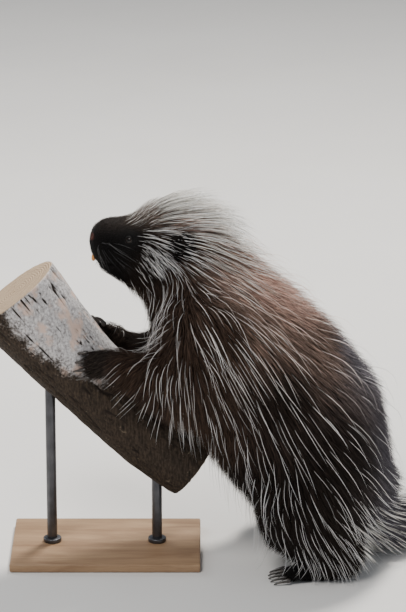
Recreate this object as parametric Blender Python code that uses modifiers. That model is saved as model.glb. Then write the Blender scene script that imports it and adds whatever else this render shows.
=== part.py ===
"""A porcupine of the tree-climbing kind, life size: it stands on its hind feet and tail, and its
forepaws hold a cut length of a log, which a plain stand carries.

The solids give the outline of the coat. The flesh is modelled whole, from chains of swollen balls
that are fused and smoothed, and is then parted with thin cuts into the pieces that a person would name.
Metres, +Z up. The head is towards -X, the animal's left side towards -Y, and the floor is at Z = 0.
"""

import math

import bmesh
import bpy
from mathutils import Matrix, Vector

# Driving dimensions
GAP = 0.0003  # between two pieces that touch
BODY_VOXEL = 0.0055  # grain of the fused trunk and limbs
FINE_VOXEL = 0.0032  # grain once the hands and feet are added
FLESH_TRIANGLES = 2000  # of the whole body, before it is parted
EYE_RADIUS = 0.0062
CLAW_LENGTH = 0.023
CLAW_RADIUS = 0.0030
DIGIT_RADIUS = 0.0058
LOG_RADIUS = 0.054
LOG_FLARE = 0.012  # how much thicker the log is at its upper end
ROD_RADIUS = 0.007
BASE_SIZE = Vector((0.26, 0.17, 0.012))
FAR = 1.0  # half size of a cutter that takes everything on one side

# The spine, from the crown of the head to the root of the tail: x, y, z, half height, half width of the coat
SPINE = (
    (-0.074, 0, 0.434, 0.076, 0.060),
    (-0.050, 0, 0.412, 0.074, 0.069),
    (-0.023, 0, 0.362, 0.098, 0.090),
    (0.010, 0, 0.306, 0.119, 0.108),
    (0.050, 0, 0.258, 0.127, 0.121),
    (0.094, 0, 0.201, 0.128, 0.130),
    (0.124, 0, 0.146, 0.111, 0.132),
    (0.146, 0, 0.100, 0.070, 0.095),
)
# The head, from the crown to the front of the muzzle
HEAD = (
    (-0.074, 0, 0.434, 0.076, 0.060),
    (-0.106, 0, 0.433, 0.059, 0.051),
    (-0.134, 0, 0.437, 0.045, 0.042),
    (-0.155, 0, 0.441, 0.035, 0.033),
    (-0.160, 0, 0.450, 0.0315, 0.028),
    (-0.170, 0, 0.4375, 0.0205, 0.0205),
)
CHIN = (
    (-0.112, 0, 0.410, 0.039, 0.034),
    (-0.148, 0, 0.4165, 0.0225, 0.020),
    (-0.1665, 0, 0.4155, 0.0145, 0.014),
)
TAIL = (
    (0.150, 0.005, 0.078, 0.056, 0.072),
    (0.202, 0.016, 0.037, 0.038, 0.058),
    (0.262, 0.034, 0.031, 0.034, 0.052),
    (0.325, 0.052, 0.025, 0.027, 0.040),
    (0.362, 0.062, 0.020, 0.020, 0.026),
)
# The limbs, each from the trunk outwards: x, y, z, radius. The forelegs differ, as each paw has its own hold
NEAR_FORELEG = (
    (-0.030, -0.055, 0.350, 0.066),
    (-0.055, -0.084, 0.276, 0.056),
    (-0.092, -0.087, 0.277, 0.040),
    (-0.124, -0.083, 0.290, 0.028),
    (-0.146, -0.073, 0.297, 0.021),
)
FAR_FORELEG = (
    (-0.030, 0.055, 0.350, 0.066),
    (-0.050, 0.084, 0.270, 0.052),
    (-0.086, 0.076, 0.258, 0.036),
    (-0.119, 0.062, 0.270, 0.026),
    (-0.134, 0.052, 0.281, 0.022),
    (-0.146, 0.044, 0.291, 0.018),
)
# Of the left hind leg, which the right one mirrors
HIND_LEG = (
    (0.122, -0.062, 0.152, 0.080),
    (0.094, -0.084, 0.106, 0.068),
    (0.122, -0.094, 0.070, 0.055),
    (0.148, -0.098, 0.044, 0.040),
    (0.152, -0.098, 0.026, 0.027),
)
SOLE = ((0.155, -0.098, 0.015, 0.021), (0.128, -0.101, 0.013, 0.020), (0.106, -0.103, 0.011, 0.018))

# The log's centre line is one curve through these, from its upper end to its lower one
LOG_UPPER = Vector((-0.292, 0, 0.374))
LOG_MIDDLE = Vector((-0.178, 0, 0.222))
LOG_LOWER = Vector((-0.047, 0, 0.129))

# Each hand: the palm's place and the direction of the digits
NEAR_PALM = Vector((-0.164, -0.066, 0.296))
NEAR_POINTS = Vector((-0.94, 0.19, -0.20))
FAR_PALM = Vector((-0.156, 0.037, 0.303))
FAR_POINTS = Vector((-0.80, -0.25, 0.53))
PALM_RADII = Vector((0.020, 0.021, 0.013))
SOLE_RADII = Vector((0.022, 0.021, 0.013))
# How much the claws rise from their digits, and how much they bend after that
CLAW_ANGLES = {
    "left_hand": (math.radians(24), math.radians(66)),
    "right_hand": (math.radians(44), math.radians(78)),
    "left_foot": (0.0, math.radians(26)),
    "right_foot": (0.0, math.radians(26)),
}
HIND_POINTS = Vector((-0.98, -0.12, 0.0))

# These are of the right side, and the left one mirrors them
EYE = Vector((-0.1335, 0.0328, 0.4570))
EAR = Vector((-0.0700, 0.0580, 0.4570))
EAR_RADII = Vector((0.013, 0.0045, 0.017))
EAR_LEAN = math.radians(22)
INCISOR = (
    (-0.1780, 0.00265, 0.4370, 0.0024),
    (-0.1825, 0.00265, 0.4300, 0.0024),
    (-0.1850, 0.00250, 0.4230, 0.0022),
    (-0.1855, 0.00235, 0.4165, 0.0018),
)

BASE_PLACE = Vector((-0.170, 0, 0))
RODS = {"front": -0.245, "rear": -0.100}  # where along X each one stands

# Finishes: colour, roughness, metallic
FINISHES = {
    "coat": ((0.050, 0.036, 0.029), 0.75, 0.0),
    "bare_skin": ((0.035, 0.028, 0.026), 0.60, 0.0),
    "claw": ((0.055, 0.045, 0.042), 0.35, 0.0),
    "tooth": ((0.72, 0.28, 0.06), 0.35, 0.0),
    "eye": ((0.010, 0.008, 0.008), 0.08, 0.0),
    "log_bark": ((0.42, 0.37, 0.33), 0.85, 0.0),
    "stand_wood": ((0.50, 0.38, 0.27), 0.50, 0.0),
    "stand_steel": ((0.16, 0.16, 0.17), 0.40, 1.0),
}


def clear_scene():
    for old in list(bpy.data.objects):
        bpy.data.objects.remove(old)


def collection(name):
    made = bpy.data.collections.new(name)
    bpy.context.scene.collection.children.link(made)
    return made


clear_scene()
PORCUPINE = collection("porcupine")
CUTTERS = collection("cutters")


def finish(name):
    colour, roughness, metallic = FINISHES[name]
    made = bpy.data.materials.get(name) or bpy.data.materials.new(name)
    made.use_nodes = True
    shader = made.node_tree.nodes["Principled BSDF"]
    shader.inputs["Base Color"].default_value = (*colour, 1.0)
    shader.inputs["Roughness"].default_value = roughness
    shader.inputs["Metallic"].default_value = metallic
    return made


def solid(name, mesh, look):
    """A node of the porcupine."""
    made = bpy.data.objects.new(name, mesh)
    PORCUPINE.objects.link(made)
    mesh.materials.clear()
    mesh.materials.append(finish(look))
    mesh.shade_smooth()
    mesh.set_sharp_from_angle(angle=math.radians(40))
    return made


def helper(name, mesh):
    """A cutter or a mould, which isn't part of the porcupine."""
    made = bpy.data.objects.new(name, mesh)
    CUTTERS.objects.link(made)
    made.hide_render = True
    made.display_type = "WIRE"
    return made


def mesh_from(bm, name):
    mesh = bpy.data.meshes.new(name)
    bm.to_mesh(mesh)
    bm.free()
    return mesh


def ball(bm, place, radii, turn=None, detail=3):
    """An ellipsoid at a place, with its own axes turned."""
    matrix = Matrix.Translation(place) @ (turn or Matrix.Identity(4)) @ Matrix.Diagonal((*radii, 1))
    return bmesh.ops.create_icosphere(bm, subdivisions=detail, radius=1, matrix=matrix)["verts"]


def hull(points_of, name="hull"):
    """The convex hull of what points_of puts in a bmesh."""
    shell = bmesh.new()
    points_of(shell)
    bmesh.ops.delete(shell, geom=list(shell.edges), context="EDGES_FACES")
    found = bmesh.ops.convex_hull(shell, input=list(shell.verts))
    spare = {v for key in ("geom_interior", "geom_unused") for v in found[key]}
    bmesh.ops.delete(shell, geom=[v for v in spare if isinstance(v, bmesh.types.BMVert)], context="VERTS")
    return mesh_from(shell, name)


def chain(bm, stations, grow=0.0):
    """Adds a limb: hulls round each two neighbouring balls of (x, y, z, half height, half width)."""
    full = [(*s, s[3]) if len(s) == 4 else s for s in stations]
    for pair in zip(full, full[1:]):

        def points(shell, pair=pair):
            for x, y, z, tall, wide in pair:
                ball(shell, (x, y, z), (tall + grow, wide + grow, tall + grow))

        link = hull(points)
        bm.from_mesh(link)
        bpy.data.meshes.remove(link)


def mirrored(stations):
    """The same limb on the right side."""
    return tuple((s[0], -s[1], *s[2:]) for s in stations)


def evaluated(obj, name):
    """A new mesh of the object as its modifiers leave it."""
    graph = bpy.context.evaluated_depsgraph_get()
    mesh = bpy.data.meshes.new_from_object(obj.evaluated_get(graph), depsgraph=graph)
    mesh.name = name
    return mesh


def fused(bm, name, voxel, smoothing):
    """The closed union of everything in a bmesh, with its creases smoothed."""
    mould = helper(name, mesh_from(bm, name))
    remesh = mould.modifiers.new("fuse", "REMESH")
    remesh.mode = "VOXEL"
    remesh.voxel_size = voxel
    smooth = mould.modifiers.new("smooth", "SMOOTH")
    smooth.factor = 0.5
    smooth.iterations = smoothing
    mesh = evaluated(mould, name + "_fused")
    bpy.data.objects.remove(mould)
    return mesh


def lightened(mesh, triangles):
    """The mesh with about that many triangles."""
    mould = helper("lighten", mesh)
    mesh.calc_loop_triangles()
    decimate = mould.modifiers.new("lighten", "DECIMATE")
    decimate.ratio = triangles / len(mesh.loop_triangles)
    made = evaluated(mould, mesh.name + "_light")
    bpy.data.objects.remove(mould)
    return made


def carve(mesh, cutter, operation):
    """The mesh with a cutter taken away from it (DIFFERENCE), or only what lies inside one (INTERSECT)."""
    block = helper("block", mesh)
    boolean = block.modifiers.new("carve", "BOOLEAN")
    boolean.operation = operation
    boolean.object = cutter
    made = evaluated(block, mesh.name)
    bpy.data.objects.remove(block)
    return main_body(made)


def main_body(mesh):
    """The mesh without the crumbs that a cut leaves: only its largest connected piece."""
    bm = bmesh.new()
    bm.from_mesh(mesh)
    unseen, pieces = set(bm.verts), []
    while unseen:
        start = unseen.pop()
        piece, edge_of_piece = {start}, [start]
        while edge_of_piece:
            for edge in edge_of_piece.pop().link_edges:
                for vert in edge.verts:
                    if vert in unseen:
                        unseen.remove(vert)
                        piece.add(vert)
                        edge_of_piece.append(vert)
        pieces.append(piece)
    largest = max(pieces, key=len)
    crumbs = [v for v in bm.verts if v not in largest]
    bmesh.ops.delete(bm, geom=crumbs, context="VERTS")
    bm.to_mesh(mesh)
    bm.free()
    return mesh


def block(place, facing, length, half_width):
    """A shape to cut with: a block that starts at a place and runs on the way it faces."""
    turn = Vector(facing).to_track_quat("Z", "Y").to_matrix().to_4x4()

    def add(bm, grow):
        size = (2 * (half_width + grow), 2 * (half_width + grow), length + 2 * grow, 1)
        middle = Matrix.Translation((0, 0, length / 2))
        matrix = Matrix.Translation(place) @ turn @ middle @ Matrix.Diagonal(size)
        bmesh.ops.create_cube(bm, size=1, matrix=matrix)

    return add


def oval(place, radii, turn=None, detail=3):
    """A shape to cut with, or a small part: an ellipsoid."""

    def add(bm, grow):
        ball(bm, place, [radius + grow for radius in radii], turn, detail)

    return add


def cutter(name, add, grow=0.0):
    bm = bmesh.new()
    add(bm, grow)
    return helper(name, mesh_from(bm, name))


def parted(rest, name, add):
    """A piece that a cut takes from the flesh, and the rest, with a gap between the two."""
    piece = carve(rest.copy(), cutter(name + "_inside", add), "INTERSECT")
    return piece, carve(rest, cutter(name + "_outside", add, GAP), "DIFFERENCE")


def log_point(share):
    """A point of the log's centre line, its direction there and its radius; 0 is the upper end."""
    rest = 1 - share
    point = rest * rest * LOG_UPPER + 2 * share * rest * LOG_MIDDLE + share * share * LOG_LOWER
    along = 2 * rest * (LOG_MIDDLE - LOG_UPPER) + 2 * share * (LOG_LOWER - LOG_MIDDLE)
    return point, along.normalized(), LOG_RADIUS + LOG_FLARE * rest**3


def nearest_log_point(place):
    steps = [log_point(k / 60)[0] for k in range(61)]
    return min(steps, key=lambda point: (point - place).length)


def loft(bm, rings, sides):
    """Joins rings into a closed tube. Each ring is the matrix of a unit circle."""
    last = bmesh.ops.create_circle(bm, segments=sides, radius=1, matrix=rings[0])["verts"]
    edges = list(bm.edges)
    bm.faces.new(reversed(last))
    for before, matrix in zip(rings, rings[1:]):
        made = bmesh.ops.extrude_edge_only(bm, edges=edges)["geom"]
        onward = matrix @ before.inverted()
        bmesh.ops.transform(bm, matrix=onward, verts=[v for v in made if isinstance(v, bmesh.types.BMVert)])
        edges = [e for e in made if isinstance(e, bmesh.types.BMEdge) and e.is_boundary]
    bmesh.ops.contextual_create(bm, geom=edges)
    bmesh.ops.recalc_face_normals(bm, faces=bm.faces)


def log_shape(bm, grow, rings=12, sides=18):
    """The log: rings round its centre line, a little thicker where knots lie under the bark."""
    matrices = []
    for k in range(rings):
        share = k / (rings - 1)
        point, along, radius = log_point(share)
        point = point + along * grow * {0: -1, 1: 1}.get(share, 0)
        size = radius * (1 + 0.025 * math.sin(9 * share + 0.6)) + grow
        turn = along.to_track_quat("Z", "Y").to_matrix().to_4x4()
        matrices.append(Matrix.Translation(point) @ turn @ Matrix.Diagonal((size, size, size, 1)))
    loft(bm, matrices, sides)


def hand_axes(palm, points, inward):
    """Unit directions of a hand: along its digits, in towards what it rests on, and across its digits."""
    ahead = points.normalized()
    across = ahead.cross(inward).normalized()
    return ahead, across.cross(ahead).normalized(), across


def paw(bm, palm, axes, count, reach, spacing, radii, drop):
    """Adds a palm and its digits side by side, fanned out a little, and returns where each claw starts."""
    ahead, inward, across = axes
    turn = Matrix((ahead, across, inward)).transposed().to_4x4()
    ball(bm, palm, radii, turn)
    starts = []
    for k in range(count):
        side = k - (count - 1) / 2
        short = 0.0022 * side * side / max(1, count - 3)
        root = palm + ahead * (reach - short) + across * side * spacing
        tip = root + ahead * 0.0155 + across * side * 0.0016 + inward * drop
        heel = root - ahead * 0.012
        chain(bm, [(*heel, DIGIT_RADIUS * 0.95), (*root, DIGIT_RADIUS), (*tip, DIGIT_RADIUS * 0.92)])
        starts.append(tip + ahead * 0.002)
    return starts


def claw(start, axes, lift, bend):
    """A shape to cut with, or a claw: rings along an arc that rises, then bends inwards to a blunt point."""
    across = axes[2]
    ahead = axes[0] * math.cos(lift) - axes[1] * math.sin(lift)
    inward = axes[1] * math.cos(lift) + axes[0] * math.sin(lift)
    arc = CLAW_LENGTH / bend

    def add(bm, grow, rings=5):
        matrices = []
        for k in range(rings):
            share = k / (rings - 1)
            angle = bend * share
            along = ahead * math.cos(angle) + inward * math.sin(angle)
            place = start + arc * (ahead * math.sin(angle) + inward * (1 - math.cos(angle)))
            place = place + along * grow * {0: -1, 1: 1}.get(share, 0)
            size = CLAW_RADIUS * (1 - 0.85 * share**1.6) + grow
            turn = Matrix((across, across.cross(along), along)).transposed().to_4x4()
            matrices.append(Matrix.Translation(place) @ turn @ Matrix.Diagonal((0.8 * size, size, size, 1)))
        loft(bm, matrices, 6)

    return add


def rod(x):
    """A shape: an upright rod from the base to the middle of the log."""

    def add(bm, grow):
        top = min((log_point(k / 60)[0] for k in range(61)), key=lambda point: abs(point.x - x)).z
        low = BASE_SIZE.z + GAP
        place = Matrix.Translation((x, 0, (low + top) / 2))
        size = {"radius1": ROD_RADIUS, "radius2": ROD_RADIUS, "depth": top - low}
        bmesh.ops.create_cone(bm, cap_ends=True, segments=16, matrix=place, **size)

    return add


def tooth(stations):
    """A shape to cut with, or a tooth: rings round stations of (x, y, z, radius)."""

    def add(bm, grow):
        places = [Vector(station[:3]) for station in stations]
        matrices = []
        for k, (place, station) in enumerate(zip(places, stations)):
            along = (places[min(k + 1, len(places) - 1)] - places[max(k - 1, 0)]).normalized()
            place = place + along * grow * {0: -1, len(places) - 1: 1}.get(k, 0)
            size = station[3] + grow
            turn = along.to_track_quat("Z", "Y").to_matrix().to_4x4()
            matrices.append(Matrix.Translation(place) @ turn @ Matrix.Diagonal((size, size, size, 1)))
        loft(bm, matrices, 8)

    return add


def body_mould():
    """The trunk, head, tail and limbs as one smooth closed mesh, without hands and feet."""
    bm = bmesh.new()
    for stations in (SPINE, HEAD, CHIN, TAIL, NEAR_FORELEG, FAR_FORELEG, HIND_LEG, mirrored(HIND_LEG)):
        chain(bm, stations)
    return fused(bm, "body", BODY_VOXEL, 9)


def whole_flesh():
    """The whole animal as one mesh, flat under its feet and tail, and the shape of each claw."""
    bm = bmesh.new()
    bm.from_mesh(body_mould())
    near_axes = hand_axes(NEAR_PALM, NEAR_POINTS, nearest_log_point(NEAR_PALM) - NEAR_PALM)
    far_axes = hand_axes(FAR_PALM, FAR_POINTS, nearest_log_point(FAR_PALM) - FAR_PALM)
    left_axes = hand_axes(None, HIND_POINTS, Vector((0, 0, -1)))
    right_axes = hand_axes(None, Vector((HIND_POINTS.x, -HIND_POINTS.y, 0)), Vector((0, 0, -1)))
    left_sole = Vector(SOLE[-1][:3])
    right_sole = Vector(mirrored(SOLE)[-1][:3])
    starts = {
        "left_hand": (paw(bm, NEAR_PALM, near_axes, 4, 0.014, 0.0098, PALM_RADII, 0.001), near_axes),
        "right_hand": (paw(bm, FAR_PALM, far_axes, 4, 0.014, 0.0098, PALM_RADII, 0.001), far_axes),
        "left_foot": (paw(bm, left_sole, left_axes, 5, 0.015, 0.0092, SOLE_RADII, 0.0045), left_axes),
        "right_foot": (paw(bm, right_sole, right_axes, 5, 0.015, 0.0092, SOLE_RADII, 0.0045), right_axes),
    }
    chain(bm, SOLE)
    chain(bm, mirrored(SOLE))
    claws = {}
    for where, (places, axes) in starts.items():
        lift, bend = CLAW_ANGLES[where]
        claws[where] = [claw(place, axes, lift, bend) for place in places]
    flesh = lightened(fused(bm, "flesh", FINE_VOXEL, 3), FLESH_TRIANGLES)
    under = block((0, 0, 0), (0, 0, -1), FAR, FAR)
    flesh = carve(flesh, cutter("floor", under), "DIFFERENCE")
    return carve(flesh, cutter("log_space", log_shape, 2 * GAP), "DIFFERENCE"), claws


def seated(pieces, name, hosts, add, look):
    """Makes a small part, and its seat in the pieces of flesh that hold it."""
    for host in hosts:
        pieces[host] = carve(pieces[host], cutter(f"{name}_seat_{host}", add, GAP), "DIFFERENCE")
    bm = bmesh.new()
    add(bm, 0.0)
    return solid(name, mesh_from(bm, name), look)


def hang_on_anchor():
    """Parents every node to an empty, which puts the middle of the bounding box's underside at the origin."""
    nodes = list(PORCUPINE.objects)
    points = [v.co for obj in nodes for v in obj.data.vertices]
    low, high = (Vector(limit(axis) for axis in zip(*points)) for limit in (min, max))
    anchor = bpy.data.objects.new("porcupine_anchor", None)
    PORCUPINE.objects.link(anchor)
    anchor.location = (-(low.x + high.x) / 2, -(low.y + high.y) / 2, -low.z)
    print("everything moved by", tuple(round(value, 5) for value in anchor.location))
    for obj in nodes:
        obj.parent = anchor


def main():
    rest, claws = whole_flesh()
    pieces = {}
    for name, add in PARTING:
        pieces[name], rest = parted(rest, name, add)
    pieces["trunk_rear"] = rest
    pieces["jaw"], pieces["muzzle"] = parted(pieces["muzzle"], "jaw", JAW)

    for side, sign in (("left", -1), ("right", 1)):
        flip = Matrix.Diagonal((1, sign, 1, 1))
        lean = flip @ Matrix.Rotation(-EAR_LEAN, 4, "X") @ flip
        seated(pieces, f"{side}_eye", ["head"], oval(flip @ EYE, [EYE_RADIUS] * 3), "eye")
        seated(pieces, f"{side}_ear", ["head"], oval(flip @ EAR, EAR_RADII, lean, 2), "bare_skin")
        line = INCISOR if sign > 0 else mirrored(INCISOR)
        seated(pieces, f"{side}_incisor", ["muzzle"], tooth(line), "tooth")

    log_space = cutter("log_space_for_claws", log_shape, GAP)
    for where, shapes in claws.items():
        for k, add in enumerate(shapes):
            horn = seated(pieces, f"{where}_claw_{k + 1}", [where], add, "claw")
            if "hand" in where:
                horn.data = carve(horn.data, log_space, "DIFFERENCE")

    for name, mesh in pieces.items():
        solid(name, mesh, "bare_skin" if name.endswith(("hand", "foot")) else "coat")

    bm = bmesh.new()
    log_shape(bm, 0.0)
    solid("perch_log", mesh_from(bm, "perch_log"), "log_bark")
    bm = bmesh.new()
    middle = BASE_PLACE + Vector((0, 0, BASE_SIZE.z / 2))
    bmesh.ops.create_cube(bm, size=1, matrix=Matrix.Translation(middle) @ Matrix.Diagonal((*BASE_SIZE, 1)))
    solid("stand_base", mesh_from(bm, "stand_base"), "stand_wood")
    for where, x in RODS.items():
        bm = bmesh.new()
        rod(x)(bm, 0.0)
        mesh = carve(mesh_from(bm, f"stand_rod_{where}"), log_space, "DIFFERENCE")
        solid(f"stand_rod_{where}", mesh, "stand_steel")
    hang_on_anchor()


# How the flesh is parted, in this order. What is left at the end is the rear of the trunk
PARTING = (
    ("left_hand", block((-0.1420, -0.075, 0.296), (-1, 0.15, 0), 0.12, 0.045)),
    ("right_hand", block((-0.1400, 0.049, 0.286), (-0.80, -0.45, 0.60), 0.12, 0.045)),
    ("left_forearm", block((-0.0880, -0.089, 0.277), (-1, 0.05, 0.20), 0.12, 0.044)),
    ("right_forearm", block((-0.0850, 0.078, 0.260), (-1, -0.40, 0.25), 0.12, 0.040)),
    ("left_upper_arm", oval((-0.0480, -0.092, 0.300), (0.054, 0.052, 0.085), None, 2)),
    ("right_upper_arm", oval((-0.0450, 0.092, 0.300), (0.054, 0.052, 0.085), None, 2)),
    ("left_foot", block((0.1180, -0.100, 0.034), (0, 0, -1), 0.06, 0.055)),
    ("right_foot", block((0.1180, 0.100, 0.034), (0, 0, -1), 0.06, 0.055)),
    ("left_thigh", oval((0.1200, -0.108, 0.080), (0.082, 0.056, 0.088), None, 2)),
    ("right_thigh", oval((0.1200, 0.108, 0.080), (0.082, 0.056, 0.088), None, 2)),
    ("tail", block((0.2000, 0.015, 0.050), (0.93, 0.10, -0.35), 0.25, 0.085)),
    ("muzzle", block((-0.1425, 0, 0.438), (-1, 0, 0.10), 0.12, 0.060)),
    ("head", block((-0.0500, 0, 0.415), (-0.95, 0, 0.30), 0.20, 0.090)),
    ("neck", block((-0.0150, 0, 0.352), (-0.49, 0, 0.87), 0.20, 0.140)),
    ("trunk_front", block((0.0550, 0, 0.250), (-0.62, 0, 0.78), 0.20, 0.200)),
)
JAW = block((-0.1450, 0, 0.4225), (0.10, 0, -1), 0.06, 0.050)

main()
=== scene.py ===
# %% [markdown]
# # A porcupine at a log
# This script dresses a life-size porcupine for a museum case. It stands on its hind feet and its
# tail, with both forepaws on a cut length of a leaning log. The solid pieces that the frame brings
# give the outline of the coat. Here they get a skin inside that outline, and the skin gets fur,
# long guard hairs, eyes, lids, teeth and claws.
# Lengths are in metres, +Z is up, the head points to -X and the animal's left side to -Y.

# %% Load the frame
import math

import bmesh
import bpy
import numpy as np
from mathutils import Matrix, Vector, noise
from mathutils.bvhtree import BVHTree
from mathutils.kdtree import KDTree


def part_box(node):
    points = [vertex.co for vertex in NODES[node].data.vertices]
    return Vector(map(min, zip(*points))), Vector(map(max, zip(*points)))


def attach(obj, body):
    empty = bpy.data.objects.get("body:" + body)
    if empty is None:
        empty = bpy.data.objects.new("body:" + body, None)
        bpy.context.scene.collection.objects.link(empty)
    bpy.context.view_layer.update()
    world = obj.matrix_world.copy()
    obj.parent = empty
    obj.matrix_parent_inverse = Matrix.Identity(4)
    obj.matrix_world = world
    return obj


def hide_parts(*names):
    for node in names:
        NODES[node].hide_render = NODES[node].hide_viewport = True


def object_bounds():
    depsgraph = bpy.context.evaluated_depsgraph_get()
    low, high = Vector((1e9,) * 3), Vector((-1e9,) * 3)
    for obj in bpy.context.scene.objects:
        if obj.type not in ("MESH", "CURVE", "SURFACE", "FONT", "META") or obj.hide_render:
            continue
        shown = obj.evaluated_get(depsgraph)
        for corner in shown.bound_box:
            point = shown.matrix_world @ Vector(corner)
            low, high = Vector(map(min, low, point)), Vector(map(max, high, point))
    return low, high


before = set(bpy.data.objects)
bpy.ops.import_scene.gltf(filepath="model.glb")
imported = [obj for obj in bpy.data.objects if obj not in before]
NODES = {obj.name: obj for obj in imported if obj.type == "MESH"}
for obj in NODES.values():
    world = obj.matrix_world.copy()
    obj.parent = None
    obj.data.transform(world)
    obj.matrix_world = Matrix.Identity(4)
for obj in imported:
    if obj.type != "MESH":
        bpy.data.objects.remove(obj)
cad_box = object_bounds()
print(len(NODES), "pieces in a box of", [round(high - low, 3) for low, high in zip(*cad_box)])

# %% [markdown]
# ## The view
# The photograph looks at the animal's left side from a little above, from far enough away that
# nothing is foreshortened. A long lens at four metres gives the same picture. The camera turns
# round one point of the body, so the picture is set by that point, an angle and a scale.

# %% The camera
VIEW_POINT = Vector((-0.0537, 0.0, 0.354))  # what the middle of the picture shows
VIEW_DISTANCE = 4.2
VIEW_ELEVATION = math.radians(18)
PICTURE_HEIGHT = 612  # pixels
PIXELS_PER_METRE = 740
SENSOR_HEIGHT = 36.0  # millimetres, as Blender counts it


def camera():
    data = bpy.data.cameras.new("camera")
    data.sensor_fit = "VERTICAL"
    data.sensor_height = SENSOR_HEIGHT
    data.lens = data.sensor_height * VIEW_DISTANCE * PIXELS_PER_METRE / PICTURE_HEIGHT
    made = bpy.data.objects.new("camera", data)
    bpy.context.scene.collection.objects.link(made)
    back = Vector((0, -math.cos(VIEW_ELEVATION), math.sin(VIEW_ELEVATION)))
    made.location = VIEW_POINT + back * VIEW_DISTANCE
    made.rotation_euler = back.to_track_quat("Z", "Y").to_euler()
    return made


bpy.context.scene.camera = camera()
print("lens", round(bpy.context.scene.camera.data.lens, 1), "mm")

# %% [markdown]
# ## Shader sums in Python
# A finish is a sum over masks and noises. Written as nodes, such a sum is long and hard to follow.
# So one small class wraps a node's output, and an operator on it adds the Math node that does the
# same. Every other node comes from its `put` method, which sets the node up before it fills the
# sockets.


# %% The class for shader sums
class Wire:
    """An output of a material's node. Python's operators on it add Math nodes."""

    def __init__(self, tree, socket=None):
        self.tree = tree
        self.socket = socket

    def put(self, kind, inputs=(), out=0, **settings):
        """Adds a node: its settings first, then its sockets' values or links."""
        node = self.tree.nodes.new(kind)
        for name, value in settings.items():
            setattr(node, name, value)
        for key, value in dict(inputs).items():
            if isinstance(value, Wire):
                self.tree.links.new(value.socket, node.inputs[key])
            else:
                node.inputs[key].default_value = value
        return Wire(self.tree, node.outputs[out])

    def math(self, operation, *values):
        return self.put("ShaderNodeMath", enumerate(values), operation=operation)

    def __add__(self, other):
        return self.math("ADD", self, other)

    def __sub__(self, other):
        return self.math("SUBTRACT", self, other)

    def __rsub__(self, other):
        return self.math("SUBTRACT", other, self)

    def __mul__(self, other):
        return self.math("MULTIPLY", self, other)

    __radd__ = __add__
    __rmul__ = __mul__

    def over(self, low, high):
        """0 below low, 1 above high and a smooth step between them."""
        sockets = {"Value": self, "From Min": low, "From Max": high}
        return self.put("ShaderNodeMapRange", sockets, interpolation_type="SMOOTHSTEP")

    def mixed(self, first, second):
        """The first colour where this is 0, the second where it is 1."""
        first, second = ((*c, 1.0) if isinstance(c, tuple) else c for c in (first, second))
        sockets = {0: self, 6: first, 7: second}
        return self.put("ShaderNodeMix", sockets, out=2, data_type="RGBA")

    def tinted(self, other):
        """This colour times another."""
        sockets = {0: 1.0, 6: self, 7: other}
        return self.put("ShaderNodeMix", sockets, out=2, data_type="RGBA", blend_type="MULTIPLY")

    def attribute(self, name, out="Fac"):
        return self.put("ShaderNodeAttribute", out=out, attribute_name=name)

    def place(self, scale=(1, 1, 1), turn=(0, 0, 0)):
        """Object coordinates, stretched and turned."""
        here = self.put("ShaderNodeTexCoord", out="Object")
        return self.put("ShaderNodeMapping", {"Vector": here, "Scale": scale, "Rotation": turn})

    def noise(self, vector, scale, detail=3.0, roughness=0.55, distortion=0.0):
        sockets = {"Vector": vector, "Scale": scale, "Detail": detail}
        sockets |= {"Roughness": roughness, "Distortion": distortion}
        return self.put("ShaderNodeTexNoise", sockets, out="Fac")

    def bump(self, height, distance, strength=1.0):
        return self.put("ShaderNodeBump", {"Height": height, "Distance": distance, "Strength": strength})


def finish(name, look, **constants):
    """A material. The look gives wires for the sockets that vary, and the constants set the others."""
    made = bpy.data.materials.new(name)
    made.use_nodes = True
    sockets = made.node_tree.nodes["Principled BSDF"].inputs
    for socket, value in constants.items():
        sockets[socket.replace("_", " ")].default_value = value
    for socket, wire in look(Wire(made.node_tree)).items():
        made.node_tree.links.new(wire.socket, sockets[socket.replace("_", " ")])
    return made


print("shader sums ready")

# %% [markdown]
# ## The room
# A pale floor, wide enough to fill the picture, leaves nothing to distract from the animal. The key
# light comes from the front left and above. A smaller, stronger one stands behind and above the
# animal: it lights the crest and the long hairs from behind, as the sun does. Two weak ones open
# the shadows on the tail's side and behind the head.

# %% The floor and the lights
FLOOR_HALF = 12.0
FLOOR_DROP = 0.0004  # keeps the floor clear of the faces that rest on it


def floor():
    shape = bmesh.new()
    bmesh.ops.create_grid(shape, x_segments=1, y_segments=1, size=FLOOR_HALF)
    for vertex in shape.verts:
        vertex.co.z -= FLOOR_DROP
    return shape


def lamp(name, place, aim, size, power, colour=(1, 1, 1)):
    data = bpy.data.lights.new(name, "AREA")
    data.shape = "DISK"
    data.size = size
    data.energy = power
    data.color = colour
    made = bpy.data.objects.new(name, data)
    bpy.context.scene.collection.objects.link(made)
    made.location = place
    made.rotation_euler = (Vector(aim) - Vector(place)).to_track_quat("-Z", "Y").to_euler()


def piece(name, shape, material=None):
    """A finished object from a bmesh or a mesh, at the origin."""
    mesh = shape
    if isinstance(shape, bmesh.types.BMesh):
        mesh = bpy.data.meshes.new(name)
        shape.to_mesh(mesh)
        shape.free()
    mesh.polygons.foreach_set("use_smooth", [True] * len(mesh.polygons))
    if material:
        mesh.materials.append(material)
    made = bpy.data.objects.new(name, mesh)
    bpy.context.scene.collection.objects.link(made)
    return made


def floor_look(wires):
    cloud = wires.noise(wires.place(), 3.0)
    return {"Base_Color": cloud.mixed((0.76, 0.74, 0.71), (0.83, 0.81, 0.78))}


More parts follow.
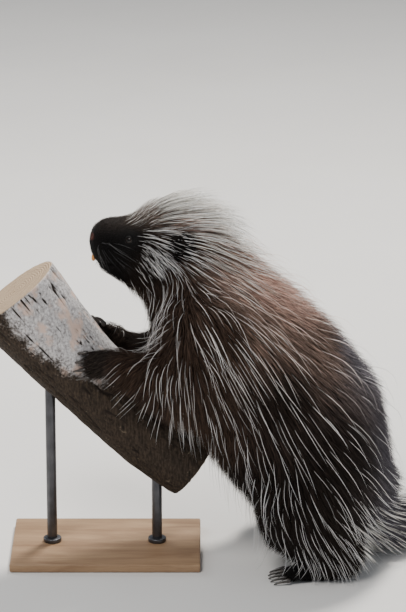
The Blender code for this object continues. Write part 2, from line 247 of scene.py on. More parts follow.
FLOOR = finish("studio floor", floor_look, Roughness=0.9, Specular_IOR_Level=0.2)
piece("studio_floor", floor(), FLOOR)
BODY_MIDDLE = (0.0, 0.0, 0.26)
lamp("key", (-1.1, -1.9, 3.0), BODY_MIDDLE, 1.3, 70, (1.0, 0.98, 0.95))
lamp("fill", (2.2, -2.4, 1.0), BODY_MIDDLE, 2.2, 14, (0.86, 0.92, 1.0))
lamp("rim", (0.7, 1.5, 3.0), BODY_MIDDLE, 0.7, 150, (1.0, 0.97, 0.92))
lamp("back", (-2.2, 1.8, 1.6), BODY_MIDDLE, 1.6, 25)
world = bpy.data.worlds.new("studio")
world.use_nodes = True
background = world.node_tree.nodes["Background"].inputs
background["Color"].default_value = (0.80, 0.86, 0.95, 1)
background["Strength"].default_value = 0.34
bpy.context.scene.world = world
print("floor and", len(bpy.data.lights), "lights")

# %% [markdown]
# ## The lie of the coat
# A porcupine's coat is short on the nose and feet and as long as a hand on the back. It flows from
# the nose over the crown and down the back, hangs from the flanks and spreads over the tail. A
# stylist would comb it area by area, and so does this table: each row is one place on the body, with
# the direction in which its hairs point, their length, and how deep the skin lies under the solid
# outline. Everything between the places is a weighted mean of those nearby.

# %% The colours of the coat
INK = (0.0036, 0.0029, 0.0028)  # the nose, the lips, the eyes' rims, the ears' hair and the feet
COAL = (0.020, 0.0150, 0.0125)  # the upper side of the nose, and the hands
ROSE = (0.150, 0.050, 0.036)  # round the nostrils
SOOT = (0.014, 0.0095, 0.0075)  # the cheeks, flanks, hind legs and tail
UMBER = (0.044, 0.027, 0.019)  # the temples, throat, chest, shoulders and arms
FAWN = (0.600, 0.385, 0.310)  # the upper back, the palest part of the under-fur
ASH = (0.350, 0.238, 0.190)  # the neck and the sides of the crown
TAUPE = (0.210, 0.160, 0.132)  # the crown
HAZEL = (0.100, 0.076, 0.062)  # the brow
TAN = (0.190, 0.128, 0.100)  # where the upper back meets the flank
SLATE = (0.082, 0.076, 0.087)  # the rump and the tail's root: the fur's grey, with a blue tint of painted sheen
DOVE = (0.152, 0.139, 0.150)  # the lower back: the fur's grey, with a blue tint of painted sheen
SILVER = (0.94, 0.92, 0.90)  # the long guard hairs, and the pale hairs of cheek and temple
CREAM = (0.94, 0.90, 0.83)  # the pale hairs of brow, crest and nape, and the quills

# %% The places of the coat
# Each: x, distance from the middle plane, z; direction (its middle number points outwards); length;
# depth of the skin; colour of the under-fur; how densely the pale guard hairs stand
COMBED = {
    "nose tip": ((-0.2036, 0.000, 0.4405), (1.0, 0.0, 0.1), 0.004, 0.0010, INK, 0.0),
    "upper lip": ((-0.1980, 0.020, 0.4280), (0.8, 0.1, -0.3), 0.005, 0.0015, INK, 0.0),
    "muzzle top": ((-0.1790, 0.006, 0.4790), (1.0, 0.0, 0.1), 0.008, 0.0020, COAL, 0.0),
    "muzzle side": ((-0.1790, 0.033, 0.4510), (1.0, 0.0, -0.05), 0.008, 0.0020, INK, 0.0),
    "chin": ((-0.1820, 0.010, 0.4110), (0.6, 0.0, -0.5), 0.016, 0.0022, INK, 0.05),
    "brow": ((-0.1390, 0.015, 0.4910), (0.9, 0.0, 0.35), 0.026, 0.0045, HAZEL, 1.0),
    "eye": ((-0.1507, 0.036, 0.4570), (0.95, 0.0, -0.2), 0.006, 0.0015, INK, 0.1),
    "cheek": ((-0.1250, 0.045, 0.4366), (0.75, 0.0, -0.65), 0.030, 0.0070, SOOT, 0.9),
    "crown side": ((-0.0780, 0.035, 0.4900), (0.95, 0.0, -0.10), 0.060, 0.0180, ASH, 0.7),
    "crown": ((-0.0955, 0.000, 0.5070), (0.97, 0.0, 0.08), 0.060, 0.0200, TAUPE, 0.3),
    "temple": ((-0.0888, 0.058, 0.4620), (0.93, 0.0, -0.35), 0.036, 0.0110, UMBER, 0.6),
    "nape": ((-0.0374, 0.000, 0.4790), (0.85, 0.0, -0.5), 0.075, 0.0260, ASH, 0.6),
    "throat": ((-0.1455, 0.000, 0.3740), (0.3, 0.0, -0.9), 0.045, 0.0100, UMBER, 0.3),
    "jowl": ((-0.0980, 0.070, 0.3990), (0.35, 0.0, -0.93), 0.050, 0.0160, UMBER, 0.8),
    "neck side": ((-0.0307, 0.070, 0.4390), (0.6, 0.0, -0.8), 0.080, 0.0260, ASH, 0.8),
    "upper back": ((0.0640, 0.000, 0.4050), (0.74, 0.1, -0.67), 0.080, 0.0280, FAWN, 0.35),
    "withers": ((0.0300, 0.045, 0.4200), (0.66, 0.05, -0.75), 0.085, 0.0275, FAWN, 0.5),
    "saddle": ((0.0200, 0.085, 0.3850), (0.60, 0.05, -0.80), 0.090, 0.0270, TAN, 0.8),
    "loin": ((0.1040, 0.055, 0.3500), (0.58, 0.05, -0.81), 0.085, 0.0285, TAN, 0.25),
    "shoulder": ((-0.0370, 0.110, 0.3700), (0.40, 0.0, -0.92), 0.095, 0.0260, UMBER, 1.4),
    "chest front": ((-0.1250, 0.030, 0.3220), (0.1, 0.0, -1.0), 0.055, 0.0160, UMBER, 0.4),
    "upper arm": ((-0.0915, 0.125, 0.3070), (0.15, 0.0, -1.0), 0.060, 0.0160, UMBER, 0.8),
    "forearm": ((-0.1480, 0.100, 0.3070), (-0.55, 0.0, -0.75), 0.045, 0.0080, UMBER, 0.3),
    "elbow": ((-0.1130, 0.110, 0.3250), (0.10, 0.0, -1.0), 0.060, 0.0140, UMBER, 0.8),
    "inner forearm": ((-0.1300, 0.055, 0.2850), (-0.75, 0.0, 0.1), 0.022, 0.0060, SOOT, 0.0),
    "hand": ((-0.1850, 0.065, 0.2987), (-0.85, 0.0, -0.45), 0.016, 0.0022, COAL, 0.0),
    "flank": ((0.0369, 0.125, 0.2890), (0.5, 0.0, -0.85), 0.100, 0.0280, SOOT, 0.36),
    "back": ((0.1450, 0.000, 0.3126), (0.47, 0.1, -0.88), 0.080, 0.0290, DOVE, 0.12),
    "rear flank": ((0.1180, 0.140, 0.2090), (0.56, 0.0, -0.83), 0.095, 0.0280, SOOT, 0.22),
    "rump": ((0.2060, 0.000, 0.1776), (0.05, 0.05, -1.0), 0.070, 0.0260, SLATE, 0.12),
    "upper belly": ((-0.0685, 0.060, 0.2086), (0.15, 0.0, -1.0), 0.065, 0.0120, UMBER, 0.5),
    "lower belly": ((0.0058, 0.060, 0.1104), (0.15, 0.0, -1.0), 0.060, 0.0120, SOOT, 0.5),
    "thigh": ((0.0640, 0.145, 0.1253), (0.38, 0.0, -0.92), 0.080, 0.0220, SOOT, 0.6),
    "shank": ((0.1045, 0.130, 0.0564), (0.5, 0.0, -0.85), 0.050, 0.0130, SOOT, 1.0),
    "foot": ((0.0774, 0.100, 0.0112), (-0.8, 0.0, -0.4), 0.008, 0.0020, INK, 0.0),
    "tail root": ((0.2060, 0.000, 0.0780), (0.9, 0.0, -0.4), 0.060, 0.0170, SLATE, 0.2),
    "tail side": ((0.2700, 0.080, 0.0300), (1.0, 0.1, -0.1), 0.048, 0.0130, SOOT, 0.2),
    "tail tip": ((0.3350, 0.050, 0.0250), (1.0, 0.1, -0.05), 0.040, 0.0100, SOOT, 0.2),
}
NEARBY = 0.012  # softens the weights close to a place
FALLOFF = 2.5  # how fast a place's weight fades with the square of the distance
PLACES, DIRECTIONS, LENGTHS, DEPTHS, COLOURS, PALENESS = (
    np.array(column) for column in zip(*COMBED.values())
)


def weights(points):
    """How much each place of the table counts at each point, and the point's side of the body."""
    side = np.where(points[:, 1] < 0, -1.0, 1.0)
    folded = points * np.stack([np.ones_like(side), side, np.ones_like(side)], 1)
    apart = ((folded[:, None] - PLACES[None]) ** 2).sum(2)
    weight = 1 / (apart + NEARBY**2) ** FALLOFF
    return weight / weight.sum(1, keepdims=True), side


def unit(vectors):
    return vectors / np.maximum(np.linalg.norm(vectors, axis=-1, keepdims=True), 1e-9)


def combed(points):
    """The coat's direction, length and depth at each point of an array."""
    weight, side = weights(points)
    way = weight @ DIRECTIONS
    way[:, 1] *= side
    return unit(way), weight @ LENGTHS, weight @ DEPTHS


def marked(points):
    """The under-fur's colour and the density of pale hairs at each point."""
    weight = weights(points)[0]
    return weight @ COLOURS, weight @ PALENESS


print(len(COMBED), "places in the coat's table")

# %% [markdown]
# ## The skin
# A taxidermist stretches one tanned skin over a form, so no seam may show between head, neck and
# limbs. The solids are cut apart with thin gaps. Copies of them, each swollen by half a millimetre,
# overlap again, and a voxel remesh fuses them into one closed surface of even quads. That surface
# shows the coat's outline. It then sinks inwards by the depth that the table gives, a little at a
# time with smoothing in between, so that it neither folds nor keeps the solids' facets.

# %% Helpers for meshes as arrays
def read(items, field, width=3, kind=float):
    values = np.empty(len(items) * width, kind)
    items.foreach_get(field, values)
    return values.reshape(-1, width)


def write(mesh, points):
    mesh.vertices.foreach_set("co", points.ravel())
    mesh.update()


def edge_ends(mesh):
    return read(mesh.edges, "vertices", 2, np.int64)


def relaxed(points, ends, amount, times):
    """Moves every point towards the mean of its neighbours, by its own amount."""
    count = np.bincount(ends.ravel(), minlength=len(points))[:, None]
    amount = np.broadcast_to(amount, len(points))[:, None]
    for _ in range(times):
        total = np.zeros_like(points)
        for axis in range(3):
            for one, other in ((0, 1), (1, 0)):
                total[:, axis] += np.bincount(ends[:, one], points[ends[:, other], axis], len(points))
        points = points + (total / count - points) * amount
    return points


def outward(mesh, points):
    """The normals that the mesh has with its vertices at these points."""
    write(mesh, points)
    return read(mesh.vertex_normals, "vector")


print("helpers ready")

# %% The fused mass
SIDES = {"left": -1, "right": 1}
LIMB_PARTS = ("upper_arm", "forearm", "hand", "thigh", "foot")
FLESH = ["head", "muzzle", "jaw", "neck", "trunk_front", "trunk_rear", "tail"]
FLESH += [f"{side}_{part}" for side in SIDES for part in LIMB_PARTS]
SWELL = 0.0005
VOXEL = 0.0034


def joined(one, other):
    """Adds the other bmesh to this one, through a mesh that is thrown away."""
    mesh = bpy.data.meshes.new("joined")
    other.to_mesh(mesh)
    other.free()
    one.from_mesh(mesh)
    bpy.data.meshes.remove(mesh)
    return one


def swollen_copies(names):
    whole = bmesh.new()
    for name in names:
        copy = bmesh.new()
        copy.from_mesh(NODES[name].data)
        bmesh.ops.remove_doubles(copy, verts=copy.verts, dist=1e-5)
        copy.normal_update()
        for vertex in copy.verts:
            vertex.co += vertex.normal * SWELL
        joined(whole, copy)
    return whole


def fused(shape, voxel):
    made = piece("mass", shape)
    remesh = made.modifiers.new("fuse", "REMESH")
    remesh.mode = "VOXEL"
    remesh.voxel_size = voxel
    depsgraph = bpy.context.evaluated_depsgraph_get()
    mesh = bpy.data.meshes.new_from_object(made.evaluated_get(depsgraph))
    bpy.data.objects.remove(made)
    return mesh


# The eyes are part of the mass for now, so that it is smooth where they sit
skin_mesh = fused(swollen_copies([*FLESH, "left_eye", "right_eye"]), VOXEL)
print("skin:", len(skin_mesh.vertices), "points before it sinks")

# %% Sink the skin under the coat
SINK_STEPS = 10
SMOOTH_BEFORE, SMOOTH_BETWEEN, SMOOTH_AFTER = 16, 3, 24  # how often the points are relaxed
SOFT_DEPTH = 0.020  # a coat this deep has a skin smoothed at full strength
BARE_DEPTH = 0.005  # a coat no deeper than this shows the skin's own form


def sunk(mesh):
    ends = edge_ends(mesh)
    points = read(mesh.vertices, "co")
    depth = combed(points)[2]
    soft = np.clip(depth / SOFT_DEPTH, 0.03, 1) * 0.5
    points = relaxed(points, ends, soft, SMOOTH_BEFORE)
    for _ in range(SINK_STEPS):
        points = points - outward(mesh, points) * (depth / SINK_STEPS)[:, None]
        points = relaxed(points, ends, soft, SMOOTH_BETWEEN)
    furry = np.clip((depth - BARE_DEPTH) / BARE_DEPTH, 0, 1) * 0.5
    write(mesh, relaxed(points, ends, furry, SMOOTH_AFTER))


sunk(skin_mesh)
print("skin sunk, lowest point", round(read(skin_mesh.vertices, "co")[:, 2].min(), 4))

# %% [markdown]
# ## The face
# The head gets the most work, as people look there first. Its faces are divided once more, and those
# round the nose, the mouth and the eyes twice. Then small moves shape the skin: each one pushes the
# vertices near a landmark along a direction, by an amount that fades with distance. That is what a
# sculptor's brush does, written down. A porcupine has slit nostrils that look forwards and to the
# side, a mouth set back under the nose, and small eyes.

# %% Where the face's parts lie
def corners(name):
    """A node's lowest and highest corners."""
    return [Vector(corner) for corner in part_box(name)]


EYE_CENTRES = {side: sum(corners(f"{side}_eye"), Vector()) / 2 for side in SIDES}
EYE_RADIUS = (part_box("left_eye")[1][0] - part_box("left_eye")[0][0]) / 2
NOSTRIL = np.array((-0.2040, 0.0115, 0.4560))
NOSTRIL_REACH = 0.0075  # of the bare, reddish skin round each nostril
MOUTH_HEIGHT = 0.4192  # of the line between the lips, where it starts under the nose
MOUTH_START = -0.1960
MOUTH_RISE = 0.10  # of that line, for each metre back
MOUTH_CORNER = -0.1680
FACE_BACK = -0.100  # the face's finer skin lies before this x
FACE_FLOOR = 0.385  # and above this z
SMOOTH_BACK = -0.095  # where a last smoothing has faded out
EYE_REACH = 0.017  # of the finest skin round each eye
NOSE_BACK, NOSE_FLOOR = -0.186, 0.408
MOUTH_BACK, MOUTH_REACH = -0.158, 0.008


def mirrored(place, sign):
    return np.array(place) * (1, sign, 1)


def on_face(point):
    return point.x < FACE_BACK and point.z > FACE_FLOOR


def by_landmark(point):
    by_eye = min((point - centre).length for centre in EYE_CENTRES.values()) < EYE_REACH
    by_nose = point.x < NOSE_BACK and point.z > NOSE_FLOOR
    by_mouth = point.x < MOUTH_BACK and abs(point.z - MOUTH_HEIGHT) < MOUTH_REACH
    return by_eye or by_nose or by_mouth


def finer(mesh, *regions):
    shape = bmesh.new()
    shape.from_mesh(mesh)
    for inside in regions:
        chosen = [edge for edge in shape.edges if all(inside(vertex.co) for vertex in edge.verts)]
        bmesh.ops.subdivide_edges(shape, edges=chosen, cuts=1, use_grid_fill=True)
    bmesh.ops.triangulate(shape, faces=[face for face in shape.faces if len(face.verts) > 4])
    shape.to_mesh(mesh)
    shape.free()


finer(skin_mesh, on_face, by_landmark)
face_points = read(skin_mesh.vertices, "co")
on_head = np.clip((SMOOTH_BACK - face_points[:, 0]) / 0.01, 0, 1) * (face_points[:, 2] > FACE_FLOOR) * 0.4
write(skin_mesh, relaxed(face_points, edge_ends(skin_mesh), on_head, 3))
print("skin:", len(skin_mesh.vertices), "points")


# %% Shape the face
SLIT_HALF = (0.0050, 0.0022)  # of a nostril's length and width
SLIT_DEPTH, SLIT_RIM = 0.0042, 0.0008
SLIT_CURL = (0.0006, 0.0045)  # how far the slit swings, and over which length
CREASE_DEPTH, CREASE_WIDTH = 0.0030, 0.0024  # between the lips
LIP_HEIGHT, LIP_RISE, LIP_WIDTH = 0.0007, 0.0045, 0.0035  # the upper lip's swelling over the crease
CLEFT_DEPTH, CLEFT_WIDTH = 0.0012, 0.0022
CLEFT_BACK, CLEFT_TOP = -0.19, 0.447
HOLLOW = ((-0.009, 0.004, -0.002), 0.009, -0.0014)  # from the eye's centre, reach, push
BROW_RIDGE = ((0.001, 0.003, 0.0095), 0.008, 0.0010)
EYE_MARGIN, EYE_SOCKET = 0.0016, 0.0014  # how far over the eyeball skin is drawn in, and how deep


def fading(distance, reach):
    """1 at no distance, 0 at the reach and beyond."""
    return np.clip(1 - (distance / reach) ** 2, 0, 1) ** 2


def nostrils(points, normals):
    """A leaning slit on each side of the nose, with a swollen rim."""
    long_axis = unit(np.array([(0.30, 0.30, 0.90)]))[0]
    for sign in SIDES.values():
        away = (points - mirrored(NOSTRIL, sign)) * (1, sign, 1)
        along = away @ long_axis
        across = np.linalg.norm(away - along[:, None] * long_axis, axis=1)
        curl = across - SLIT_CURL[0] * np.sin(along / SLIT_CURL[1] * math.pi / 2)
        distance = np.sqrt((along / SLIT_HALF[0]) ** 2 + (curl / SLIT_HALF[1]) ** 2)
        points -= normals * (SLIT_DEPTH * fading(distance, 1.25))[:, None]
        points += normals * (SLIT_RIM * fading(np.abs(distance - 1.7), 0.8))[:, None]


def mouth(points, normals):
    """The crease between the lips, and the upper lip's cleft under the nose."""
    line = MOUTH_HEIGHT + (points[:, 0] - MOUTH_START) * MOUTH_RISE
    above = points[:, 2] - line
    shut = np.clip((MOUTH_CORNER - points[:, 0]) / 0.006, 0, 1)
    points -= normals * (CREASE_DEPTH * fading(np.abs(above), CREASE_WIDTH) * shut)[:, None]
    above = points[:, 2] - line
    points += normals * (LIP_HEIGHT * fading(np.abs(above - LIP_RISE), LIP_WIDTH) * shut)[:, None]
    cleft = fading(np.abs(points[:, 1]), CLEFT_WIDTH) * (points[:, 0] < CLEFT_BACK)
    points -= normals * (CLEFT_DEPTH * cleft * (points[:, 2] < CLEFT_TOP))[:, None]


def eye_hollows(points, normals):
    """A shallow hollow in front of each eye, a ridge over it, and skin that dips behind the eyeball."""
    for side, sign in SIDES.items():
        centre = np.array(EYE_CENTRES[side])
        moves = []
        for place, reach, push in (BROW_RIDGE, HOLLOW):
            spot = centre + mirrored(place, sign)
            moves.append(push * fading(np.linalg.norm(points - spot, axis=1), reach))
        points += normals * sum(moves)[:, None]
        away = points - centre
        distance = np.linalg.norm(away, axis=1)
        inside = distance < EYE_RADIUS + EYE_MARGIN
        points[inside] = centre + away[inside] * ((EYE_RADIUS - EYE_SOCKET) / distance[inside])[:, None]


def shape_face(mesh):
    points = read(mesh.vertices, "co")
    normals = read(mesh.vertex_normals, "vector")
    nostrils(points, normals)
    mouth(points, normals)
    eye_hollows(points, normals)
    write(mesh, points)


shape_face(skin_mesh)
print("nostrils, mouth and eye hollows shaped")

# %% [markdown]
# ## Lids, ears, eyes
# Each lid is a ring of skin over the eyeball, from an almond opening out to where the ring dives
# under the face's skin. It starts as a flat grid. One function says where each vertex of the grid
# goes, as a tailor wraps cloth, and the grid's side edges are welded where they meet. The ears and
# the log are made in the same way.


# %% A grid wrapped into a form
def wrapped(columns, rows, place):
    """A grid whose vertices go to place(u, v), with u and v from 0 to 1, its meeting sides welded."""
    shape = bmesh.new()
    bmesh.ops.create_grid(shape, x_segments=columns, y_segments=rows, size=0.5)
    for vertex in shape.verts:
        vertex.co = place(vertex.co.x + 0.5, vertex.co.y + 0.5)
    bmesh.ops.remove_doubles(shape, verts=shape.verts, dist=1e-6)
    bmesh.ops.recalc_face_normals(shape, faces=shape.faces)
    return shape


# %% The lids
GAZE = unit(np.array([(-0.36, 0.92, 0.10)]))[0]
OPENING = (math.radians(43), math.radians(33))  # half of its width and height, seen from the centre
CORNER_POINT = math.radians(4)  # how far the opening runs on into each corner
LID_GAP = 0.0002  # over the eyeball
# From the opening outwards: angle beyond it in degrees, height over the eyeball
LID_PROFILE = (
    (2.0, -0.0003),
    (0.0, 0.0003),
    (1.5, 0.0009),
    (6.0, 0.0012),
    (12.0, 0.0011),
    (17.0, 0.0007),
    (24.0, 0.0011),
    (34.0, 0.0004),
    (46.0, -0.0014),
)


def lid(side):
    sign = SIDES[side]
    gaze = Vector(mirrored(GAZE, sign))
    level = Vector((0, 0, 1)).cross(gaze).normalized()
    upright = gaze.cross(level)

    def place(u, v):
        turn = 2 * math.pi * u
        across, up = math.cos(turn), math.sin(turn)
        rim = 1 / math.hypot(across / OPENING[0], up / OPENING[1]) + CORNER_POINT * across**8
        row = v * (len(LID_PROFILE) - 1)
        first = min(int(row), len(LID_PROFILE) - 2)
        share = row - first
        beyond, height = (a * (1 - share) + b * share for a, b in zip(*LID_PROFILE[first : first + 2]))
        angle = rim + math.radians(beyond) * (1.0 + 0.25 * up)
        out = gaze * math.cos(angle) + (level * across + upright * up) * math.sin(angle)
        return EYE_CENTRES[side] + out * (EYE_RADIUS + height + LID_GAP)

    return wrapped(56, 24, place)


print("lids ready")

# %% The ears
EAR_LEAN = math.radians(22)
EAR_BOWL = 0.0055
EAR_HALF_WIDTH = 0.0100
EAR_FOLD = 0.0012
EAR_THICKNESS = 0.0007
EAR_SINK = 0.004  # so that the hair in front of it passes over it


def ear(side):
    """A small round cup: v runs from the bottom of the bowl over the rim to the back of the ear."""
    sign = SIDES[side]
    low, high = corners(f"{side}_ear")
    centre = (low + high) / 2 + Vector((0, -sign * EAR_SINK, 0))
    height = (high.z - low.z) / 2 * 0.85
    up = Vector((math.sin(EAR_LEAN), 0, math.cos(EAR_LEAN)))
    out = Vector((-0.35, sign, 0.05)).normalized()
    ahead = up.cross(out).normalized() * sign

    def place(u, v):
        turn = 2 * math.pi * u
        span = math.sin(math.pi * v)
        back = v > 0.5
        bowl = -EAR_BOWL * (1 - span**2) if not back else -EAR_BOWL * 1.25 * (1 - span**3) - EAR_THICKNESS
        fold = EAR_FOLD * math.sin(3 * turn + 0.6) * span * (1 - span) * 4
        width = EAR_HALF_WIDTH * (1 - 0.18 * math.sin(turn))
        flat = ahead * math.cos(turn) * width * span + up * math.sin(turn) * height * span
        return centre + flat + out * (bowl + fold + 0.0015)

    return wrapped(40, 30, place)


print("ears ready")

# %% [markdown]
# ## Finishes of the bare parts
# Skin, horn, enamel and the wet eye differ mainly in how they reflect. Bare skin is rough and
# pebbled. Claws are dark horn, ribbed across their length. A porcupine's front teeth carry iron in
# the enamel, which makes them orange. The eye is almost black and has a clear coat, so that it
# catches the lights.

# %% Finishes for skin, horn, tooth and eye
def skin_look(wires):
    """Follows the coat's markings where there is fur, and is pebbled and bare on nose and paws."""
    here = wires.place()
    pores = wires.noise(here, 900, detail=4)
    fine = wires.noise(here, 2600, detail=2)
    lines = wires.noise(wires.place((1, 0.35, 1)), 420, distortion=1.2)
    shade = (pores * 0.7 + lines * 0.5).over(0.25, 0.95)
    dark = shade.mixed((0.35, 0.35, 0.35), (1.25, 1.2, 1.18))
    return {
        "Base_Color": wires.attribute("paint", "Color").tinted(dark),
        "Roughness": 0.78 - wires.attribute("bare") * 0.22 + pores * 0.1,
        "Normal": wires.bump(pores * 0.5 + fine * 0.3 + lines * 0.6, 0.0006, 0.7),
    }


def horn_look(wires):
    ribs = wires.noise(wires.place((1.0, 6.0, 1.0)), 260, distortion=0.6)
    worn = wires.noise(wires.place(), 130)
    tone = (ribs * 0.6 + worn * 0.5).over(0.35, 0.85)
    return {
        "Base_Color": tone.mixed((0.010, 0.008, 0.007), (0.060, 0.045, 0.036)),
        "Roughness": 0.26 + ribs * 0.22,
        "Coat_Weight": worn * 0.5,
        "Normal": wires.bump(ribs + worn * 0.4, 0.0004, 0.6),
    }


def enamel_look(wires):
    height = wires.put("ShaderNodeSeparateXYZ", {"Vector": wires.place()}, out="Z")
    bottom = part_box("left_incisor")[0][2]
    tip = height.over(bottom + 0.004, bottom - 0.001)
    stain = wires.noise(wires.place((1, 1, 0.25)), 700)
    return {
        "Base_Color": (tip * 0.6 + stain * 0.4).mixed((0.62, 0.20, 0.035), (0.80, 0.52, 0.20)),
        "Roughness": 0.22 + stain * 0.25,
        "Coat_Weight": stain * 0.6,
        "Normal": wires.bump(stain, 0.0002, 0.5),
    }


def eye_look(wires):
    """A dark brown iris and a black pupil under a clear coat. It needs each eye's gaze."""
    cosine = wires.attribute("toward_gaze")
    brown = wires.noise(wires.place(), 1500).mixed((0.007, 0.004, 0.003), (0.024, 0.012, 0.007))
    ringed = cosine.over(0.72, 0.80).mixed((0.010, 0.007, 0.006), brown)
    return {"Base_Color": cosine.over(0.915, 0.93).mixed(ringed, (0.002, 0.002, 0.002))}


SKIN = finish("skin under the coat", skin_look, Specular_IOR_Level=0.15)
HORN = finish("claw horn", horn_look, Specular_IOR_Level=0.6, Coat_Roughness=0.15)
ENAMEL = finish("orange enamel", enamel_look, Subsurface_Weight=0.1, Coat_Roughness=0.1)
EYE = finish("wet eye", eye_look, Roughness=0.10, Coat_Weight=0.3, Specular_IOR_Level=0.2)
print("four finishes of the bare parts")

# %% Put the skin, lids and ears in place
COAT_SLOT = "coat"
BARE_SLOT = "bare_skin"
BARE_BELOW = 0.0026  # the depth of coat under which the skin counts as bare
LID_COLOUR = (0.0050, 0.0040, 0.0038)
EAR_COLOUR = (0.012, 0.009, 0.008)


def mark(mesh, **facts):
    """Stores a number, or a colour where a fact has three columns, at each point of the mesh."""
    for name, values in facts.items():
        if values.ndim == 2:
            opaque = np.c_[values, np.ones(len(values))]
            mesh.attributes.new(name, "FLOAT_COLOR", "POINT").data.foreach_set("color", opaque.ravel())
        else:
            mesh.attributes.new(name, "FLOAT", "POINT").data.foreach_set("value", values)


def from_nostril(points):
    """Each point's distance to the nearer nostril."""
    near = [np.linalg.norm(points - mirrored(NOSTRIL, sign), axis=1) for sign in SIDES.values()]
    return np.minimum(*near)


def painted(mesh, colour=None):
    """Marks the mesh with one colour, or else the coat's, and with how bare the skin is."""
    points = read(mesh.vertices, "co")
    if colour:
        colours = np.full((len(points), 3), colour)
    else:
        near = from_nostril(points)[:, None]
        rosy = fading(near, NOSTRIL_REACH) * np.clip(near / NOSTRIL_REACH * 2, 0.1, 1)
        colours = marked(points)[0] * 0.7 * (1 - rosy) + np.array(ROSE) * rosy
    mark(mesh, paint=colours, bare=np.clip((BARE_BELOW - combed(points)[2]) / 0.001, 0, 1))


def surface(mesh):
    """A tree that finds the mesh's nearest point."""
    places = [vertex.co for vertex in mesh.vertices]
    return BVHTree.FromPolygons(places, [face.vertices for face in mesh.polygons])


def settled(made, slot, *nodes):
    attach(made, "root")
    if nodes:
        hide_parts(*nodes)
    return made


def unwrapped(made):
    """Flat islands of the skin's own shape. Each tuft's patch on the export's map lies at its root."""
    bpy.context.view_layer.objects.active = made
    made.select_set(True)
    bpy.ops.object.mode_set(mode="EDIT")
    bpy.ops.mesh.select_all(action="SELECT")
    bpy.ops.uv.smart_project(angle_limit=math.radians(66), island_margin=0.002)
    bpy.ops.object.mode_set(mode="OBJECT")
    made.select_set(False)


skin = settled(piece("skin", skin_mesh, SKIN), COAT_SLOT, *FLESH)
unwrapped(skin)
painted(skin_mesh)
for side in SIDES:
    made = settled(piece(f"{side}_lids", lid(side), SKIN), BARE_SLOT)
    painted(made.data, LID_COLOUR)
    made = settled(piece(f"{side}_pinna", ear(side), SKIN), BARE_SLOT, f"{side}_ear")
    painted(made.data, EAR_COLOUR)
skin_tree = surface(skin_mesh)
print("skin of", len(skin_mesh.polygons), "faces in place")

# %% Claws, teeth and eyes
TOOTH_SHIFT = Vector((0.0016, 0.0, 0.0030))  # draws the teeth up under the lip


def copied(name, levels=1):
    """A merged and finer copy of a node, since the node's own mesh stays as it is."""
    shape = bmesh.new()
    shape.from_mesh(NODES[name].data)
    bmesh.ops.remove_doubles(shape, verts=shape.verts, dist=1e-6)
    for _ in range(levels):
        bmesh.ops.subdivide_edges(shape, edges=shape.edges, cuts=1, smooth=0.6, use_grid_fill=True)
    return shape


def eyeball(side):
    shape = bmesh.new()
    bmesh.ops.create_uvsphere(shape, u_segments=48, v_segments=24, radius=EYE_RADIUS)
    bmesh.ops.translate(shape, verts=shape.verts, vec=EYE_CENTRES[side])
    made = piece(f"{side}_eyeball", shape, EYE)
    away = unit(read(made.data.vertices, "co") - np.array(EYE_CENTRES[side]))
    mark(made.data, toward_gaze=away @ mirrored(GAZE, SIDES[side]))
    return settled(made, "eye", f"{side}_eye")


for side in SIDES:
    eyeball(side)
    tooth = copied(f"{side}_incisor", 2)
    bmesh.ops.translate(tooth, verts=tooth.verts, vec=TOOTH_SHIFT)
    settled(piece(f"{side}_tooth", tooth, ENAMEL), "tooth", f"{side}_incisor")
claw_nodes = [name for name in NODES if "_claw_" in name]
for name in claw_nodes:
    settled(piece(name.replace("claw", "nail"), copied(name), HORN), "claw", name)
print("two eyes, two teeth and", len(claw_nodes), "claws")

# %% [markdown]
# ## The coat
# Real fur is millions of fibres. Here each strand stands for a few dozen that cling together: a
# closed, tapered prism of three sides, so that it is solid, casts shadows and survives an export. A
# strand grows in steps. At each step it asks the table for the lie of the coat, looks up the nearest
# point of the skin, and steers towards its own layer of the coat, so the layers overlap like
# thatch. Where the table's direction leaves the skin, as under the throat, the strand hangs free.
# Arrays hold all strands of one kind, because thousands of small meshes would take hours.

# %% Roots on the skin
RANDOM = np.random.default_rng(7)


def rooted(count, density):
    """Points spread over the skin, as dense as the function says: place, normal, place on the map."""
    skin_mesh.calc_loop_triangles()
    triangles = skin_mesh.loop_triangles
    points = read(skin_mesh.vertices, "co")[read(triangles, "vertices", kind=np.int64)]
    unwrap = read(skin_mesh.uv_layers.active.data, "uv", 2)[read(triangles, "loops", kind=np.int64)]
    crossed = np.cross(points[:, 1] - points[:, 0], points[:, 2] - points[:, 0])
    share = np.linalg.norm(crossed, axis=1) * density(points.mean(1))
    share = np.cumsum(share) / share.sum()
    spread = (np.arange(count) + RANDOM.random(count)) / count
    face = np.searchsorted(share, spread).clip(0, len(share) - 1)
    one, two = RANDOM.random((2, count, 1))
    flip = one + two > 1
    one, two = np.where(flip, 1 - one, one), np.where(flip, 1 - two, two)

    def at(values):
        return values[face, 0] * (1 - one - two) + values[face, 1] * one + values[face, 2] * two

    return at(points), unit(crossed[face]), at(unwrap)


def nearest(points):
    """The skin's nearest point and its normal for each point, and the height over the skin."""
    found = [skin_tree.find_nearest(point)[:2] for point in points.tolist()]
    places = np.array([place for place, _ in found])
    normals = np.array([normal for _, normal in found])
    return places, normals, ((points - places) * normals).sum(1)


print("roots ready")

